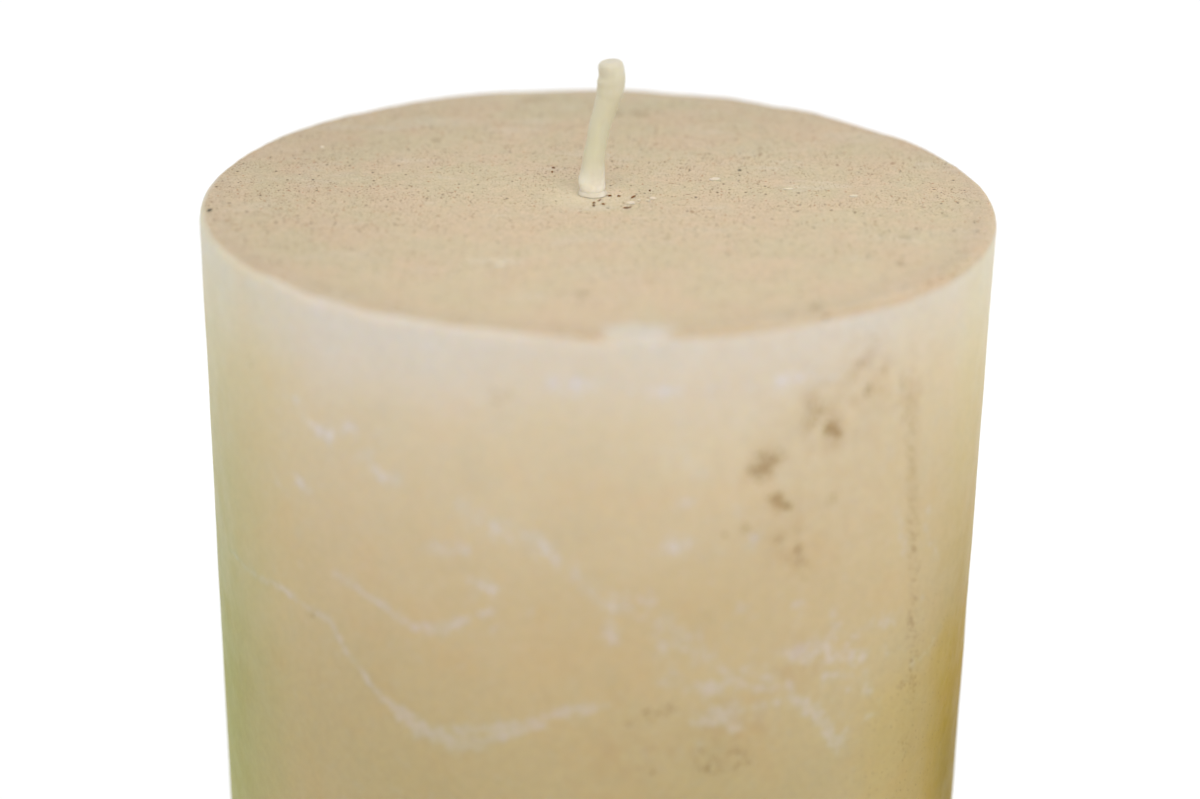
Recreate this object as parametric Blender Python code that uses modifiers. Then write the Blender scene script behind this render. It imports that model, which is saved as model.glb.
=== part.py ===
"""Unity candle: a dipped pillar candle with a cored wick, as the separate pieces it is made from.

Metres, +Z up. The origin is the centre of the candle's foot, on the table. +X is to the right and -Y is
the front. The pieces nest from the outside in: a dipped coat, the pressed core, and the wick assembly that
is pushed up through the core and held by its metal tab.
"""

import math

import bmesh
import bpy

# Candle body.
CANDLE_RADIUS = 0.0381
CANDLE_HEIGHT = 0.2286
COAT_THICKNESS = 0.0020
LAYER_GAP = 0.0003
RIM_RADIUS = 0.0010
FOOT_RADIUS = 0.0012
CORE_CHAMFER = 0.0008
DISH_RADIUS = 0.0300
DISH_DEPTH = 0.0012
DISH_SLOPE = 0.0010

# Wick cord: a stiffening thread, a cotton braid round it, and the wax that the braid is primed with.
WICK_X = -0.0005
THREAD_RADIUS = 0.00027
BRAID_RADIUS = 0.00080
PRIME_RADIUS = 0.00105
CORD_GAP = 0.00005
CHANNEL_RADIUS = 0.0016
CAP_HOLE_RADIUS = 0.00125

# Exposed wick: a short fixed stub, then the part that bends about a pivot just above it.
STUB_HEIGHT = 0.0012
PIVOT_HEIGHT = 0.0024
TIP_HEIGHT = 0.0132
FOOT_LEAN = math.radians(6.5)
TIP_LEAN = math.radians(14.5)
TIP_SWELL = 1.22
SWELL_START = 0.45
TIP_ROUNDING = 0.0006
TIP_CAP = 0.0004
BALL_SHARE = 0.97
BRAID_SHARE = 0.90

# Wax collar where the wick leaves the candle.
COLLAR_GAP = 0.00005
COLLAR_HEIGHT = 0.0011
COLLAR_EDGE = 0.0001
COLLAR_BASE_RADIUS = 0.0015
COLLAR_TOP_RADIUS = 0.00122
COLLAR_BORE_RADIUS = 0.00112

# Sustainer: the metal tab crimped round the lower end of the wick, in a recess under the core.
TAB_RADIUS = 0.0100
TAB_THICKNESS = 0.0003
TAB_CENTRE_Z = 0.0034
TAB_FILLET = 0.0006
NECK_RADIUS = 0.0018
NECK_BORE_RADIUS = 0.0014
NECK_HEIGHT = 0.0065
CRIMP_DEPTH = 0.0002
CRIMP_HALF_WIDTH = 0.0008
CRIMP_BELOW_TOP = 0.0020
RECESS_RADIUS = 0.0110
NECK_POCKET_RADIUS = 0.0024

# Bead of set wax that locks the tab in its recess.
BEAD_WIDTH = 0.0022
BEAD_CLEARANCE = 0.0002
BEAD_TOE_ANGLE = 20

# Steps round a turn: for the body, for the tab and its bead, and for the slender cord.
BODY_STEPS = 96
TAB_STEPS = 64
CORD_STEPS = 24
ARC_POINTS = 5
CORD_RINGS = 18
CORD_BEVEL_RESOLUTION = 6
CUTTER_OVERRUN = 0.0010
MERGE_DISTANCE = 0.00001

CORE_RADIUS = CANDLE_RADIUS - COAT_THICKNESS - LAYER_GAP
CORE_HEIGHT = CANDLE_HEIGHT - COAT_THICKNESS - LAYER_GAP
TAB_TOP_Z = TAB_CENTRE_Z + TAB_THICKNESS / 2
TAB_BOTTOM_Z = TAB_CENTRE_Z - TAB_THICKNESS / 2
NECK_TOP_Z = TAB_TOP_Z + NECK_HEIGHT
STUB_TOP_Z = CANDLE_HEIGHT + STUB_HEIGHT
PIVOT_Z = CANDLE_HEIGHT + PIVOT_HEIGHT
TIP_LENGTH = TIP_HEIGHT - PIVOT_HEIGHT

WAX_COAT_COLOUR = (0.66, 0.53, 0.34, 1.0)
WAX_CORE_COLOUR = (0.72, 0.62, 0.45, 1.0)
PRIME_COLOUR = (0.68, 0.62, 0.44, 1.0)
COTTON_COLOUR = (0.80, 0.77, 0.68, 1.0)
PAPER_THREAD_COLOUR = (0.70, 0.64, 0.52, 1.0)
BLOOM_COLOUR = (0.75, 0.70, 0.60, 1.0)
TINPLATE_COLOUR = (0.62, 0.62, 0.60, 1.0)


def clear_scene():
    """Removes every object, so that the script builds from nothing."""
    for obj in list(bpy.data.objects):
        bpy.data.objects.remove(obj)


def new_collection(name, hidden=False):
    """A collection in the scene, left out of renders if hidden."""
    collection = bpy.data.collections.new(name)
    collection.hide_render = hidden
    bpy.context.scene.collection.children.link(collection)
    return collection


def new_material(name, colour, roughness, metallic=0.0):
    """A Principled material with one colour, roughness and metallic value."""
    material = bpy.data.materials.new(name)
    material.use_nodes = True
    shader = material.node_tree.nodes["Principled BSDF"]
    shader.inputs["Base Color"].default_value = colour
    shader.inputs["Roughness"].default_value = roughness
    shader.inputs["Metallic"].default_value = metallic
    return material


def arc(centre, radius, start, end, points=ARC_POINTS):
    """Profile points (x, z) along an arc, from the start angle to the end angle in degrees."""
    angles = [math.radians(start + (end - start) * i / (points - 1)) for i in range(points)]
    return [(centre[0] + radius * math.cos(a), centre[1] + radius * math.sin(a)) for a in angles]


def turned(name, profile, collection, material, steps, closed=False, x=0.0):
    """Turns a profile of (x, z) points about a vertical axis. A closed profile makes a ring."""
    mesh = bpy.data.meshes.new(name)
    edges = [(i, i + 1) for i in range(len(profile) - 1)]
    if closed:
        edges.append((len(profile) - 1, 0))
    mesh.from_pydata([(px, 0.0, pz) for px, pz in profile], edges, [])
    obj = bpy.data.objects.new(name, mesh)
    obj.location.x = x
    collection.objects.link(obj)
    screw = obj.modifiers.new("turn", "SCREW")
    screw.angle = math.tau
    screw.steps = steps
    screw.render_steps = steps
    screw.use_merge_vertices = True
    screw.merge_threshold = MERGE_DISTANCE
    screw.use_smooth_shade = True
    if material is not None:
        mesh.materials.append(material)
    return obj


def cut(obj, cutter):
    """Cuts the cutter's shape out of obj, and marks the cutter as a helper."""
    cutter.hide_render = True
    cutter.display_type = "WIRE"
    boolean = obj.modifiers.new("cut_" + cutter.name, "BOOLEAN")
    boolean.operation = "DIFFERENCE"
    boolean.solver = "EXACT"
    boolean.object = cutter


def tip_centreline(distance):
    """(x, z) from the pivot at a distance up the exposed wick, which leans more the higher it is."""
    if distance <= 0.0:
        return distance * math.sin(FOOT_LEAN), distance * math.cos(FOOT_LEAN)
    turn = (TIP_LEAN - FOOT_LEAN) / TIP_LENGTH
    lean = FOOT_LEAN + turn * distance
    x = (math.cos(FOOT_LEAN) - math.cos(lean)) / turn
    z = (math.sin(lean) - math.sin(FOOT_LEAN)) / turn
    return x, z


def prime_radius(distance):
    """Radius of the primed wick at a distance above the pivot: a ball below, a swelling and a soft end above."""
    if distance < 0.0:
        return math.sqrt(max(PRIME_RADIUS**2 - distance**2, 0.0))
    share = min(max((distance / TIP_LENGTH - SWELL_START) / (1.0 - SWELL_START), 0.0), 1.0)
    eased = share * share * (3.0 - 2.0 * share)
    radius = PRIME_RADIUS * (1.0 + (TIP_SWELL - 1.0) * eased)
    into_rounding = max(distance - (TIP_LENGTH - TIP_ROUNDING), 0.0)
    return radius - TIP_ROUNDING + math.sqrt(max(TIP_ROUNDING**2 - into_rounding**2, 0.0))


def cord(name, start, end, radius_at, collection, material, pivot):
    """A length of the exposed wick from start to end above the pivot, as a mesh that hangs on the pivot."""
    curve = bpy.data.curves.new(name, "CURVE")
    curve.dimensions = "3D"
    curve.bevel_depth = 1.0
    curve.bevel_resolution = CORD_BEVEL_RESOLUTION
    curve.use_fill_caps = True
    spline = curve.splines.new("POLY")
    spline.points.add(CORD_RINGS - 1)
    for i, point in enumerate(spline.points):
        # The rings crowd towards both ends, where the radius changes fastest.
        share = 0.5 - 0.5 * math.cos(math.pi * i / (CORD_RINGS - 1))
        distance = start + (end - start) * share
        x, z = tip_centreline(distance)
        point.co = (x, 0.0, z, 1.0)
        point.radius = radius_at(distance)
    curve_object = bpy.data.objects.new(name + "_curve", curve)
    collection.objects.link(curve_object)
    curve_object.parent = pivot
    bpy.context.view_layer.update()
    graph = bpy.context.evaluated_depsgraph_get()
    mesh = bpy.data.meshes.new_from_object(curve_object.evaluated_get(graph))
    mesh.name = name
    body = bmesh.new()
    body.from_mesh(mesh)
    bmesh.ops.remove_doubles(body, verts=body.verts, dist=MERGE_DISTANCE)
    body.to_mesh(mesh)
    body.free()
    obj = bpy.data.objects.new(name, mesh)
    collection.objects.link(obj)
    obj.matrix_world = curve_object.matrix_world
    obj.parent = pivot
    obj.matrix_parent_inverse.identity()
    obj.matrix_basis.identity()
    bpy.data.objects.remove(curve_object)
    mesh.materials.clear()
    if material is not None:
        mesh.materials.append(material)
    mesh.shade_smooth()
    return obj


def build_overdip_coat(parts, cutters):
    """The outer dip of hard wax: one skin over the side and the top, open where the foot was levelled."""
    inner = CANDLE_RADIUS - COAT_THICKNESS
    rim_centre = (CANDLE_RADIUS - RIM_RADIUS, CANDLE_HEIGHT - RIM_RADIUS)
    foot_centre = (CANDLE_RADIUS - FOOT_RADIUS, FOOT_RADIUS)
    profile = [(0.0, CANDLE_HEIGHT)]
    profile += arc(rim_centre, RIM_RADIUS, 90, 0)
    profile += arc(foot_centre, FOOT_RADIUS, 0, -90)
    profile += [(inner, 0.0), (inner, CANDLE_HEIGHT - COAT_THICKNESS)]
    profile += [(0.0, CANDLE_HEIGHT - COAT_THICKNESS)]
    material = new_material("dipped_wax", WAX_COAT_COLOUR, 0.42)
    coat = turned("overdip_coat", profile, parts, material, BODY_STEPS)
    low = CANDLE_HEIGHT - COAT_THICKNESS - CUTTER_OVERRUN
    high = CANDLE_HEIGHT + CUTTER_OVERRUN
    hole = [(0.0, high), (CAP_HOLE_RADIUS, high), (CAP_HOLE_RADIUS, low), (0.0, low)]
    cut(coat, turned("cap_hole", hole, cutters, None, CORD_STEPS, x=WICK_X))


def build_wax_core(parts, cutters):
    """The pressed core: a dished foot, the wick channel, and pockets for the sustainer and its neck."""
    profile = [
        (0.0, CORE_HEIGHT),
        (CORE_RADIUS - CORE_CHAMFER, CORE_HEIGHT),
        (CORE_RADIUS, CORE_HEIGHT - CORE_CHAMFER),
        (CORE_RADIUS, CORE_CHAMFER),
        (CORE_RADIUS - CORE_CHAMFER, 0.0),
        (DISH_RADIUS + DISH_SLOPE, 0.0),
        (DISH_RADIUS, DISH_DEPTH),
        (0.0, DISH_DEPTH),
    ]
    material = new_material("pressed_wax", WAX_CORE_COLOUR, 0.65)
    core = turned("wax_core", profile, parts, material, BODY_STEPS)
    top = CORE_HEIGHT + CUTTER_OVERRUN
    pocket_top = NECK_TOP_Z + LAYER_GAP
    recess_top = TAB_TOP_Z + LAYER_GAP
    channel = [
        (0.0, top),
        (CHANNEL_RADIUS, top),
        (CHANNEL_RADIUS, pocket_top),
        (NECK_POCKET_RADIUS, pocket_top),
        (NECK_POCKET_RADIUS, recess_top),
        (RECESS_RADIUS, recess_top),
        (RECESS_RADIUS, -CUTTER_OVERRUN),
        (0.0, -CUTTER_OVERRUN),
    ]
    cut(core, turned("wick_channel", channel, cutters, None, TAB_STEPS, x=WICK_X))


def build_sustainer(parts):
    """The tinplate tab: a drawn neck that grips the wick in a waist, on a flat round disc."""
    crimp_z = NECK_TOP_Z - CRIMP_BELOW_TOP
    outer_waist = [
        (NECK_RADIUS, crimp_z + CRIMP_HALF_WIDTH),
        (NECK_RADIUS - CRIMP_DEPTH, crimp_z),
        (NECK_RADIUS, crimp_z - CRIMP_HALF_WIDTH),
    ]
    fillet_centre = (NECK_RADIUS + TAB_FILLET, TAB_TOP_Z + TAB_FILLET)
    profile = [(NECK_RADIUS, NECK_TOP_Z)] + outer_waist
    profile += arc(fillet_centre, TAB_FILLET, 180, 270)
    profile += [(TAB_RADIUS, TAB_TOP_Z), (TAB_RADIUS, TAB_BOTTOM_Z)]
    mouth_centre = (NECK_BORE_RADIUS + TAB_FILLET, TAB_BOTTOM_Z + TAB_FILLET)
    profile += arc(mouth_centre, TAB_FILLET, 270, 180)
    inner_waist = [(NECK_BORE_RADIUS - (NECK_RADIUS - x), z) for x, z in reversed(outer_waist)]
    profile += inner_waist + [(NECK_BORE_RADIUS, NECK_TOP_Z)]
    material = new_material("tinplate", TINPLATE_COLOUR, 0.35, 1.0)
    turned("wick_sustainer", profile, parts, material, TAB_STEPS, closed=True, x=WICK_X)


def build_seal_bead(parts):
    """The bead of wax run round the tab's edge, in the corner between the tab and its recess."""
    outer = RECESS_RADIUS - BEAD_CLEARANCE
    top = TAB_BOTTOM_Z - BEAD_CLEARANCE
    low = DISH_DEPTH + BEAD_CLEARANCE
    hollow_centre = (outer - BEAD_WIDTH, low)
    profile = [(outer, top), (outer, low)]
    profile += arc(hollow_centre, top - low, BEAD_TOE_ANGLE, 90)
    material = new_material("bead_wax", BLOOM_COLOUR, 0.45)
    turned("sustainer_seal_bead", profile, parts, material, TAB_STEPS, closed=True, x=WICK_X)


def tube_profile(outer, inner, top, bottom):
    """A closed ring profile for a straight tube."""
    return [(outer, top), (outer, bottom), (inner, bottom), (inner, top)]


def build_buried_wick(parts, materials):
    """The fixed length of the wick, from the tab's mouth to the short stub above the candle."""
    bottom = TAB_BOTTOM_Z
    layers = (
        ("wick_prime_coat", PRIME_RADIUS, BRAID_RADIUS + CORD_GAP, "prime"),
        ("wick_cotton_braid", BRAID_RADIUS, THREAD_RADIUS + CORD_GAP, "cotton"),
    )
    for name, outer, inner, finish in layers:
        profile = tube_profile(outer, inner, STUB_TOP_Z, bottom)
        turned(name, profile, parts, materials[finish], CORD_STEPS, closed=True, x=WICK_X)
    bpy.ops.mesh.primitive_cylinder_add(
        vertices=CORD_STEPS,
        radius=THREAD_RADIUS,
        depth=STUB_TOP_Z - bottom,
        location=(WICK_X, 0.0, (STUB_TOP_Z + bottom) / 2),
    )
    thread = bpy.context.object
    thread.name = "wick_core_thread"
    thread.data.materials.append(materials["thread"])
    thread.data.shade_smooth()
    thread.data.set_sharp_from_angle(angle=math.radians(40))
    for collection in list(thread.users_collection):
        collection.objects.unlink(thread)
    parts.objects.link(thread)


def build_collar(parts):
    """The small skirt of wax that climbs the wick where it leaves the top."""
    bottom = CANDLE_HEIGHT + COLLAR_GAP
    top = bottom + COLLAR_HEIGHT
    spread = COLLAR_BASE_RADIUS - COLLAR_TOP_RADIUS
    outer = []
    for i in range(ARC_POINTS):
        share = i / (ARC_POINTS - 1)
        outer.append((COLLAR_TOP_RADIUS + spread * share**3, top - (COLLAR_HEIGHT - COLLAR_EDGE) * share))
    profile = outer + [(COLLAR_BASE_RADIUS, bottom), (COLLAR_BORE_RADIUS, bottom), (COLLAR_BORE_RADIUS, top)]
    material = new_material("collar_wax", BLOOM_COLOUR, 0.5)
    turned("wick_foot_collar", profile, parts, material, CORD_STEPS, closed=True, x=WICK_X)


def build_wick_tip(parts, cutters, materials):
    """The exposed length that bends: primed skin, braid and thread, all hung on one pivot."""
    pivot = bpy.data.objects.new("wick_bend_pivot", None)
    pivot.location = (WICK_X, 0.0, PIVOT_Z)
    pivot.empty_display_size = PRIME_RADIUS
    parts.objects.link(pivot)

    def even(radius):
        return lambda distance: radius

    ball_end = -BALL_SHARE * PRIME_RADIUS
    braid_start = -BRAID_SHARE * BRAID_RADIUS
    bore_end = TIP_LENGTH - TIP_CAP
    braid_end = bore_end - CORD_GAP
    skin = cord("wick_tip_prime_coat", ball_end, TIP_LENGTH, prime_radius, parts, materials["prime"], pivot)
    bore = BRAID_RADIUS + CORD_GAP
    low = -2.0 * PRIME_RADIUS
    cut(skin, cord("tip_bore", low, bore_end, even(bore), cutters, None, pivot))
    braid = cord("wick_tip_braid", braid_start, braid_end, even(BRAID_RADIUS), parts, materials["cotton"], pivot)
    bore = THREAD_RADIUS + CORD_GAP
    cut(braid, cord("thread_bore", low, TIP_LENGTH, even(bore), cutters, None, pivot))
    cord("wick_tip_core_thread", braid_start, braid_end, even(THREAD_RADIUS), parts, materials["thread"], pivot)


def main():
    clear_scene()
    parts = new_collection("unity_candle")
    cutters = new_collection("cutters")
    materials = {
        "prime": new_material("wick_wax", PRIME_COLOUR, 0.45),
        "cotton": new_material("cotton", COTTON_COLOUR, 0.9),
        "thread": new_material("paper_thread", PAPER_THREAD_COLOUR, 0.85),
    }
    build_overdip_coat(parts, cutters)
    build_wax_core(parts, cutters)
    build_sustainer(parts)
    build_seal_bead(parts)
    build_buried_wick(parts, materials)
    build_collar(parts)
    build_wick_tip(parts, cutters, materials)


main()
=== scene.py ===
"""Looks for the unity candle: dusty ivory wax with scuffs and grime, and a primed cotton wick.

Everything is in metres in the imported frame: +Z up, -Y the front, the origin at the centre of the foot. Marks
on the candle's side are placed in millimetres as (arc, depth): the distance round from the front line towards
+X, and the distance below the top. Marks on the top are placed in millimetres as (x, y).
"""

import math

import bmesh
import bpy
import numpy as np
from mathutils import Matrix, Vector


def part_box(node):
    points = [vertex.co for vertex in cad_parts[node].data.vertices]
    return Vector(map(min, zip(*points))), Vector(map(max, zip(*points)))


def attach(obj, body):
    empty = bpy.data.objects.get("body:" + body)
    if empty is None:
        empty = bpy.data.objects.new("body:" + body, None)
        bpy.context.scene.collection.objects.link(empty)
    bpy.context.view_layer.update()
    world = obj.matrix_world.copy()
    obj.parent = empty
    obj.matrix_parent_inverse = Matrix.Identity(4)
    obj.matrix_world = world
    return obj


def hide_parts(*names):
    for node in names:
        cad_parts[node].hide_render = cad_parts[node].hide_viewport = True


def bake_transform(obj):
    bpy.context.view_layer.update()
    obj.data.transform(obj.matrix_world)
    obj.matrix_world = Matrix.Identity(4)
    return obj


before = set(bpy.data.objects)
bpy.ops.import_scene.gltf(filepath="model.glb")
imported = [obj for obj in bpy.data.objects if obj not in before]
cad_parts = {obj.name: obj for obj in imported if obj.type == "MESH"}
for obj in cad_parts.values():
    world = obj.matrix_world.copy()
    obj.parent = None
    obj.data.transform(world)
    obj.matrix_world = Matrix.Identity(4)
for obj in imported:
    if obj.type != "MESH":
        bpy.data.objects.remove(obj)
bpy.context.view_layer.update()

MM = 0.001

# Sizes read from the frame.
coat_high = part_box("overdip_coat")[1]
core_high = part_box("wax_core")[1]
collar_low, collar_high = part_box("wick_foot_collar")
prime_low, prime_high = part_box("wick_prime_coat")
braid_low, braid_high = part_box("wick_cotton_braid")
thread_low, thread_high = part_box("wick_core_thread")
tip_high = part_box("wick_tip_prime_coat")[1]

RADIUS = coat_high.x
TOP = coat_high.z
CORE_RADIUS = core_high.x
CORE_TOP = core_high.z
WICK_X = (prime_low.x + prime_high.x) / 2
PRIME = (prime_high.x - prime_low.x) / 2
BRAID = (braid_high.x - braid_low.x) / 2
THREAD = (thread_high.x - thread_low.x) / 2
WICK_FOOT = prime_low.z
WICK_TIP = tip_high.z


# ---------------------------------------------------------------- small maths

def smooth(low, high, value):
    """0 at low, 1 at high, with an eased step between. The two can be in either order."""
    share = np.clip((value - low) / (high - low), 0.0, 1.0)
    return share * share * (3.0 - 2.0 * share)


def waves(a, b, seed, scale, octaves=3):
    """Smooth random waves over two coordinates, about -1 to 1, with features about scale across."""
    rng = np.random.default_rng(seed)
    total = np.zeros_like(np.asarray(a, float))
    weights = 0.0
    for octave in range(octaves):
        weight = 0.5**octave
        for _ in range(5):
            heading = rng.uniform(0.0, math.tau)
            pitch = scale * weight * rng.uniform(0.7, 1.4)
            phase = rng.uniform(0.0, math.tau)
            along = a * math.cos(heading) + b * math.sin(heading)
            total += weight * np.sin(math.tau * along / pitch + phase)
        weights += weight * 5**0.5
    return total / weights


def strokes(place, marks):
    """How strongly each place is covered by tapered strokes: {strength: [[(x, y, half width), ...], ...]}.
    The value is half the strength at a stroke's edge, more inside it, and fades to nothing outside it."""
    best = np.zeros(len(place))
    for strength, stations in [(key, stroke) for key in marks for stroke in marks[key]]:
        line = np.array(stations, float)
        ends = line[1:] if len(line) > 1 else line
        for start, end in zip(line, ends):
            run = end[:2] - start[:2]
            share = np.clip((place - start[:2]) @ run / max(run @ run, 1e-9), 0.0, 1.0)
            gap = np.linalg.norm(place - start[:2] - share[:, None] * run, axis=1)
            width = start[2] + (end[2] - start[2]) * share
            inside = 0.5 + 0.5 * (width - gap) / (0.38 + 0.6 * width)
            best = np.maximum(best, strength * np.clip(inside, 0.0, 1.0))
    return best


# ---------------------------------------------------------------- mesh helpers

def mesh_object(name, vertices, faces, material, body=None):
    """A smooth mesh object, which rides on a body if one is named."""
    mesh = bpy.data.meshes.new(name)
    mesh.from_pydata(np.asarray(vertices, float).tolist(), [], faces)
    mesh.materials.append(material)
    mesh.shade_smooth()
    obj = bpy.data.objects.new(name, mesh)
    bpy.context.scene.collection.objects.link(obj)
    if body is not None:
        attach(obj, body)
    return obj


def store(obj, name, values):
    """Stores one number per vertex for a material to read."""
    attribute = obj.data.attributes.new(name, "FLOAT", "POINT")
    attribute.data.foreach_set("value", np.asarray(values, np.float32))


def bridge(first, second, n_first, n_second):
    """Faces between two rings of vertices. One ring may have twice the other's count."""
    faces = []
    if n_first == n_second:
        for i in range(n_first):
            j = (i + 1) % n_first
            faces.append((first + i, second + i, second + j, first + j))
    elif n_first == 2 * n_second:
        for i in range(n_second):
            a, b, c = first + 2 * i, first + 2 * i + 1, first + (2 * i + 2) % n_first
            d, e = second + i, second + (i + 1) % n_second
            faces += [(a, d, b), (b, d, e), (b, e, c)]
    else:
        for i in range(n_first):
            a, b = first + i, first + (i + 1) % n_first
            d, e, f = second + 2 * i, second + 2 * i + 1, second + (2 * i + 2) % n_second
            faces += [(a, d, e), (a, e, b), (b, e, f)]
    return faces


def ring_mesh(rings, closed):
    """Vertices and faces through rings of (radius, height, count, centre x)."""
    vertices = []
    starts = []
    total = 0
    for radius, height, count, centre in rings:
        starts.append(total)
        total += count
        turn = np.arange(count) / count * math.tau
        turn = turn - FRONT_DENSITY * np.sin(turn)
        vertices.append(np.stack([centre + radius * np.sin(turn), -radius * np.cos(turn),
                                  np.full(count, height)], axis=1))
    faces = []
    pairs = list(zip(range(len(rings) - 1), range(1, len(rings))))
    if closed:
        pairs.append((len(rings) - 1, 0))
    for a, b in pairs:
        faces += bridge(starts[a], starts[b], rings[a][2], rings[b][2])
    return np.concatenate(vertices), faces


def quarter(centre, radius, start, end, count):
    """(radius, height) points along an arc between two angles in degrees."""
    turns = np.radians(np.linspace(start, end, count))
    return [(centre[0] + radius * math.cos(turn), centre[1] + radius * math.sin(turn)) for turn in turns]


# ---------------------------------------------------------------- material helpers

def srgb(red, green, blue):
    """A linear colour from a display colour in 0 to 255."""
    shares = [value / 255.0 for value in (red, green, blue)]
    linear = [s / 12.92 if s <= 0.04045 else ((s + 0.055) / 1.055) ** 2.4 for s in shares]
    return (*linear, 1.0)


class Value:
    """A node's output. Plain arithmetic on it adds maths nodes."""

    def __init__(self, nodes, socket):
        self.nodes = nodes
        self.socket = socket

    def __add__(self, other):
        return self.nodes.maths("ADD", self, other)

    def __sub__(self, other):
        return self.nodes.maths("SUBTRACT", self, other)

    def __rsub__(self, other):
        return self.nodes.maths("SUBTRACT", other, self)

    def __mul__(self, other):
        return self.nodes.maths("MULTIPLY", self, other)

    def __truediv__(self, other):
        return self.nodes.maths("DIVIDE", self, other)

    def __abs__(self):
        return self.nodes.maths("ABSOLUTE", self)


class Nodes:
    """A short way to write a material: each call adds a node and returns its output."""

    def __init__(self, name):
        self.material = bpy.data.materials.new(name)
        self.material.use_nodes = True
        self.tree = self.material.node_tree
        self.shader = self.tree.nodes["Principled BSDF"]
        self.place = self.add("ShaderNodeTexCoord", output="Object")

    def put(self, socket, value):
        if isinstance(value, Value):
            self.tree.links.new(value.socket, socket)
        else:
            socket.default_value = value

    def add(self, kind, inputs=(), output=0, **settings):
        node = self.tree.nodes.new(kind)
        for key, value in settings.items():
            setattr(node, key, value)
        for key, value in dict(inputs).items():
            self.put(node.inputs[key], value)
        return Value(self, node.outputs[output])

    def surface(self, values):
        """Sets the shader's inputs and returns the finished material."""
        for key, value in values.items():
            self.put(self.shader.inputs[key], value)
        return self.material

    def maths(self, operation, a, b=0.0, clamp=False):
        return self.add("ShaderNodeMath", {0: a, 1: b}, operation=operation, use_clamp=clamp)

    def most(self, *values):
        """The largest of the values."""
        largest = values[0]
        for value in values[1:]:
            largest = self.maths("MAXIMUM", largest, value)
        return largest

    def vector(self, operation, a, b=(0.0, 0.0, 0.0), output=0):
        return self.add("ShaderNodeVectorMath", {0: a, 1: b}, output, operation=operation)

    def length(self, place):
        return self.vector("LENGTH", place, output=1)

    def shifted(self, *shift):
        """The place moved along, for a noise that has nothing to do with the others."""
        return self.vector("ADD", self.place, shift)

    def stretched(self, *factors):
        return self.vector("MULTIPLY", self.place, factors)

    def axis(self, place, index):
        return self.add("ShaderNodeSeparateXYZ", {0: place}, index)

    def axes(self):
        return [self.axis(self.place, index) for index in range(3)]

    def combine(self, x, y, z=0.0):
        return self.add("ShaderNodeCombineXYZ", {0: x, 1: y, 2: z})

    def step(self, value, low, high, to_low=0.0, to_high=1.0):
        """Maps low to to_low and high to to_high with an eased step."""
        inputs = {"Value": value, "From Min": low, "From Max": high, "To Min": to_low, "To Max": to_high}
        return self.add("ShaderNodeMapRange", inputs, interpolation_type="SMOOTHSTEP")

    def slant(self, low, high):
        """0 where the surface is seen face on, and 1 where it is seen at a slant, near the outline."""
        return self.step(self.add("ShaderNodeLayerWeight", {"Blend": 0.5}, "Facing"), low, high)

    def attribute(self, name):
        return self.add("ShaderNodeAttribute", output="Fac", attribute_name=name)

    def noise(self, scale, detail=2.0, roughness=0.5, place=None):
        inputs = {"Vector": place or self.place, "Scale": scale, "Detail": detail, "Roughness": roughness}
        return self.add("ShaderNodeTexNoise", inputs)

    def mix(self, factor, a, b, blend="MIX"):
        inputs = {0: factor, 6: a, 7: b}
        return self.add("ShaderNodeMix", inputs, 2, data_type="RGBA", blend_type=blend)

    def tint(self, colour, mask, tint):
        """The colour multiplied by a tint where the mask is 1."""
        return self.mix(mask, colour, (*tint, 1.0), "MULTIPLY")

    def shaded(self, colour, shade, share=1.0):
        """The colour multiplied by a grey."""
        return self.mix(share, colour, self.combine(shade, shade, shade), "MULTIPLY")

    def ramp(self, value, stops):
        """A colour from (position, display colour) stops."""
        node = self.tree.nodes.new("ShaderNodeValToRGB")
        elements = node.color_ramp.elements
        while len(elements) < len(stops):
            elements.new(0.5)
        for element, (position, colour) in zip(elements, stops):
            element.position = position
            element.color = srgb(*colour)
        self.put(node.inputs[0], value)
        return Value(self, node.outputs[0])

    def bump(self, height, strength, distance, normal=None):
        inputs = {"Height": height, "Strength": strength, "Distance": distance}
        if normal is not None:
            inputs["Normal"] = normal
        return self.add("ShaderNodeBump", inputs)

    def dots(self, place, spacing, radius, share, offset=0.0):
        """1 inside small round dots, one at most in each cell of a loose grid. Place is flat and in mm."""
        shifted = self.vector("ADD", place, (offset, 2.0 * offset, 0.0))
        inputs = {"Vector": shifted, "Scale": 1.0 / spacing}
        gap = self.add("ShaderNodeTexVoronoi", inputs, "Distance", voronoi_dimensions="2D")
        chance = self.vector("ADD", Value(self, gap.socket.node.outputs["Color"]))
        kept = self.maths("LESS_THAN", self.axis(chance, 0), share)
        size = self.step(self.axis(chance, 1), 0.0, 1.0, 0.45 * radius / spacing, radius / spacing)
        return kept * self.step(gap, size, size * 0.4)

    def blob(self, place, centre, half, turn=0.0, soft=0.35):
        """1 inside an ellipse on a flat place in mm, fading out at its edge. The turn is in degrees."""
        moved = self.vector("SUBTRACT", place, (*centre, 0.0))
        inputs = {"Vector": moved, "Angle": -math.radians(turn)}
        turned = self.add("ShaderNodeVectorRotate", inputs, rotation_type="Z_AXIS")
        inside = self.length(self.vector("DIVIDE", turned, (*half, 1.0)))
        return self.step(inside, 1.0 + soft, 1.0 - soft)

    def blobs(self, place, marks, soft):
        return self.most(*[self.blob(place, *mark, soft=soft) for mark in marks])


# ---------------------------------------------------------------- coat of dipped wax

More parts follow.
